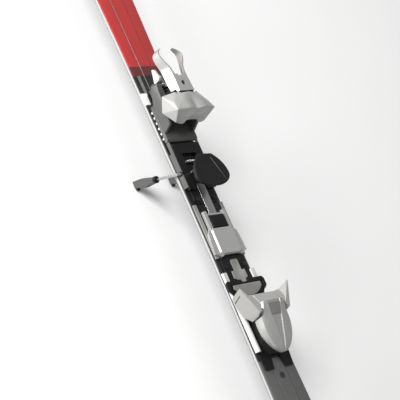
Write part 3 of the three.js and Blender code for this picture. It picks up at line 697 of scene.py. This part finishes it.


# The brake's small trim: a collar at each foot's neck, a peg under its tip, and a raised strip on the pad's
# crease line, lighter grey as a painted highlight.
# Collar and peg: name, radius, how far down the arm and ahead of it each end lies, distance outside the
# arm's own line, edge rounding and sides.
ARM_LEAN, ARM_PIVOT, ARM_Y = math.atan(0.345), (-71, 15.8), 43
ARM_TRIM = (
    ("collar", 6.4, (53, 0), (59, 0), 0.8, 0.7, 24),
    ("peg", 3.6, (103, 4), (104, 12), 1.0, 0.6, 20),
)
CREASE_ENDS, CREASE_HALF, CREASE_Z = ((-81, 10), (-34, 27)), 0.35, (51.6, 52.55)


def on_arm(down, ahead, y):
    x, z = ARM_PIVOT
    return (x - down * math.sin(ARM_LEAN) + ahead * math.cos(ARM_LEAN), y,
            z - down * math.cos(ARM_LEAN) - ahead * math.sin(ARM_LEAN))


def brake_trim():
    for side, sign in SIDES:
        for name, radius, start, end, outside, edge, count in ARM_TRIM:
            y = sign * (ARM_Y + outside)
            mesh = cylinder(name, radius, on_arm(*start, y), on_arm(*end, y), count)
            shaded(extra(f"brake_{name}_{side}", mesh, "brake_arms", "black_plastic"), edge)
    # The crease strip is lighter grey than the pad: a painted highlight along the crease's edge.
    crease = [(x, y + dy, z) for x, y in CREASE_ENDS for dy in (-CREASE_HALF, CREASE_HALF) for z in CREASE_Z]
    extra("pad_crease_highlight", hull("crease", crease), "pedal", "grey_plastic")


# ------------------------------------------------------------------ ski layers
TAIL, TIP = (corner.x * 1000 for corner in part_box("base_sole"))
# Heights above the running face, the sheet's thickness, the sizes of base, edge and wall, the gap
# between layers, and how far the sheet and the walls stay inside the outline.
EDGE_TOP, SHOULDER, CROWN, GROOVE, SHEET = 7.1, 8.6, 9.4, 8.5, 0.9
BASE, EDGE, WALL, GAP, SHEET_INSET, WALL_INSET = 1.3, 2.0, 2.4, 0.3, 0.1, 0.2
STATIONS, CREASE = 230, 38


def half_width(x):
    side = SKI["waist_half"] + (x - SKI["waist_x"]) ** 2 / (2 * SKI["sidecut"])
    tip = clamp((x - SKI["tip_wide"]) / (TIP + SKI["tip_past"] - SKI["tip_wide"]))
    tail = clamp((SKI["tail_wide"] - x) / (SKI["tail_wide"] + SKI["tail_past"] - TAIL))
    tip_share = math.sqrt(1 - tip ** SKI["tip_power"])
    return side * tip_share * (1 - tail ** SKI["tail_power"]) ** SKI["tail_corner"]


def rise(x):
    tip = max(0, (x - SKI["tip_rise_from"]) / (TIP - SKI["tip_rise_from"]))
    tail = max(0, (SKI["tail_rise_from"] - x) / (SKI["tail_rise_from"] - TAIL))
    return SKI["tip_rise"] * tip ** SKI["tip_bend"] + SKI["tail_rise"] * tail ** SKI["tail_bend"]


def thickness(x):
    """The share of the full height that is left at x: 1 under the binding, less at the ends."""
    t = clamp((abs(x) - SKI["full"]) / (SKI["thin"] - SKI["full"]))
    return 1 - (1 - SKI["end_thickness"]) * t * t * (3 - 2 * t)


def station(i):
    """Places along the ski that crowd together at both ends."""
    return (TAIL + TIP) / 2 - (TIP - TAIL) / 2 * math.cos(math.pi * i / STATIONS)


def layer(node, ribs, across, under, over):
    """One lengthwise layer: a closed skin through the same profile as the CAD, in much shorter steps."""
    rings = []
    for i in range(STATIONS + 1):
        x = station(i)
        lift = rise(x)
        top = [(x, across(rib, half_width(x)), lift + over(rib, x)) for rib in ribs]
        low = [(x, across(rib, half_width(x)), lift + under(rib, x)) for rib in reversed(ribs)]
        rings.append(top + low)
    piece(f"{node}_layer", skin(node, [rings], CREASE), node)


# Half of the cap's cross-section, from the edge to the middle: share of the half-width, and height.
CAP = [
    (1.0, EDGE_TOP), (0.985, EDGE_TOP + 0.7), (0.92, SHOULDER), (0.376, SHOULDER + 0.3),
    (0.368, SHOULDER), (0.36, GROOVE), (0.35, SHOULDER + 0.2), (0.338, CROWN), (0.0, CROWN + 0.1),
]
CAP_HEIGHT = dict(CAP)


def cap_height(rib, x):
    return CAP_HEIGHT[abs(rib)] * thickness(x)


def ski_layers():
    cap_ribs = [-rib for rib, _ in CAP] + [rib for rib, _ in reversed(CAP[:-1])]
    layer("top_sheet", cap_ribs, lambda r, w: r * (w - SHEET_INSET),
          lambda r, x: cap_height(r, x) - SHEET, cap_height)
    layer("base_sole", [-1, 0, 1], lambda r, w: r * (w - EDGE - GAP), lambda r, x: 0, lambda r, x: BASE)
    for side, sign in SIDES:
        layer(f"steel_edge_{side}", [0, 1], lambda r, w: sign * (w - EDGE * (1 - r)),
              lambda r, x: 0, lambda r, x: BASE)
        layer(f"sidewall_{side}", [0, 1], lambda r, w: sign * (w - WALL_INSET - WALL * (1 - r)),
              lambda r, x: BASE + GAP, lambda r, x: EDGE_TOP * thickness(x) - SHEET - GAP)


# ------------------------------------------------------------------ stage, light and camera
FLOOR_DROP, FLOOR_HALF = 0.0006, 14
# Each lamp: name, place, size and power. All of them aim at the origin.
LAMPS = (
    ("key", (-1.9, -3.0, 0.8), (2.6, 1.2), 150),
    ("fill", (-1.3, -2.7, 2.6), (1.6, 1.3), 108),
)


def stage():
    form = bmesh.new()
    bmesh.ops.create_grid(form, x_segments=2, y_segments=2, size=FLOOR_HALF)
    floor = in_scene("studio_floor", mesh_from(form, "studio_floor"))
    floor.data.materials.append(studio_floor("studio_floor"))
    floor.location = (0, 0, CAD_BOX[0][2] - FLOOR_DROP)


def area_light(name, place, size, power):
    lamp = bpy.data.lights.new(name, "AREA")
    lamp.shape = "RECTANGLE"
    lamp.size, lamp.size_y = size
    lamp.energy = power
    made = in_scene(name, lamp)
    made.location = place
    made.rotation_euler = (-Vector(place)).to_track_quat("-Z", "Y").to_euler()


ROOM_LIGHT = 0.42


def lights():
    world = bpy.data.worlds.new("studio")
    world.use_nodes = True
    room = world.node_tree.nodes["Background"]
    room.inputs["Color"].default_value = rgb(1.0, 1.0, 1.0)
    room.inputs["Strength"].default_value = ROOM_LIGHT
    bpy.context.scene.world = world
    bpy.context.scene.view_settings.view_transform = "Standard"
    for lamp in LAMPS:
        area_light(*lamp)


# The camera: turn about Z, rise and roll in degrees; distance in metres; lens and sensor in millimetres.
CAMERA_TURN, CAMERA_RISE, CAMERA_ROLL = 20.34, 40.31, 52.64
CAMERA_DISTANCE = 2.87574
CAMERA_AIM = mm(-23.6, -5.4, 3.8)
LENS, SENSOR = 149.108, 36.0


def camera():
    turn, lift, roll = map(math.radians, (CAMERA_TURN, CAMERA_RISE, CAMERA_ROLL))
    back = Vector((math.sin(turn) * math.cos(lift), -math.cos(turn) * math.cos(lift), math.sin(lift)))
    level = Vector((math.cos(turn), math.sin(turn), 0))
    up = back.cross(level)
    right = level * math.cos(roll) + up * math.sin(roll)
    data = bpy.data.cameras.new("camera")
    data.lens = LENS
    data.sensor_width = SENSOR
    made = in_scene("camera", data)
    axes = Matrix((right, back.cross(right), back)).transposed().to_4x4()
    made.matrix_world = Matrix.Translation(CAMERA_AIM + back * CAMERA_DISTANCE) @ axes
    bpy.context.scene.camera = made


# ------------------------------------------------------------------ assembly
# CAD nodes that only have their edges rounded, with the radius in millimetres.
ROUNDED = {
    "tail_protector": 1.0, "heel_track": 0.5, "rack_left": 0.35, "rack_right": 0.35, "heel_carriage": 0.9,
    "heel_frame": 0.5, "heel_plunger": 0.5, "heel_release_screw": 0.4, "heel_size_latch": 0.6,
    "brake_base": 0.8, "brake_skirt_left": 0.5, "brake_skirt_right": 0.5, "brake_pedal": 0.6,
    "centre_plate": 0.7, "lock_tab": 0.5, "adjust_band": 0.3,
    "centre_rail_left": 0.4, "centre_rail_right": 0.4,
    "toe_track": 0.5, "toe_rail_left": 0.4, "toe_rail_right": 0.4, "toe_carriage": 0.8, "toe_link": 0.4,
    "afd_frame": 0.7, "afd_pad": 0.4, "toe_window": 0.4, "toe_release_screw": 0.4,
    "track_screw_1": 0.4, "track_screw_2": 0.4, "track_screw_3": 0.4, "track_screw_4": 0.4,
}
# The same for pieces whose shallow edges are rounded too.
SOFT_FORMS = {
    "brake_foot_left": 0.9, "brake_foot_right": 0.9, "heel_housing": 1.2, "brake_pedal_pad": 0.8,
}
SOFT_ANGLE = 20
# The cup's remesh size in millimetres, rounds of relaxing, and share of the triangles kept.
CUP_VOXEL, CUP_ROUNDS, CUP_KEEP = 0.8, 9, 0.4


def plain_nodes():
    """CAD nodes whose shape is already right take only their finish."""
    for name, node in NODES.items():
        if node.hide_render:
            continue
        node.data.materials.clear()
        node.data.materials.append(FINISH[SLOT_OF[name]])


ski_layers()
for part, radius in ROUNDED.items():
    bevelled(part, radius)
heel_lever()
toe_nose()
wings()
brake_trim()
melted("heel_cup", CUP_VOXEL, CUP_ROUNDS, CUP_KEEP, cup_form)
for part, radius in SOFT_FORMS.items():
    bevelled(part, radius, SOFT_ANGLE)
plain_nodes()
stage()
lights()
camera()
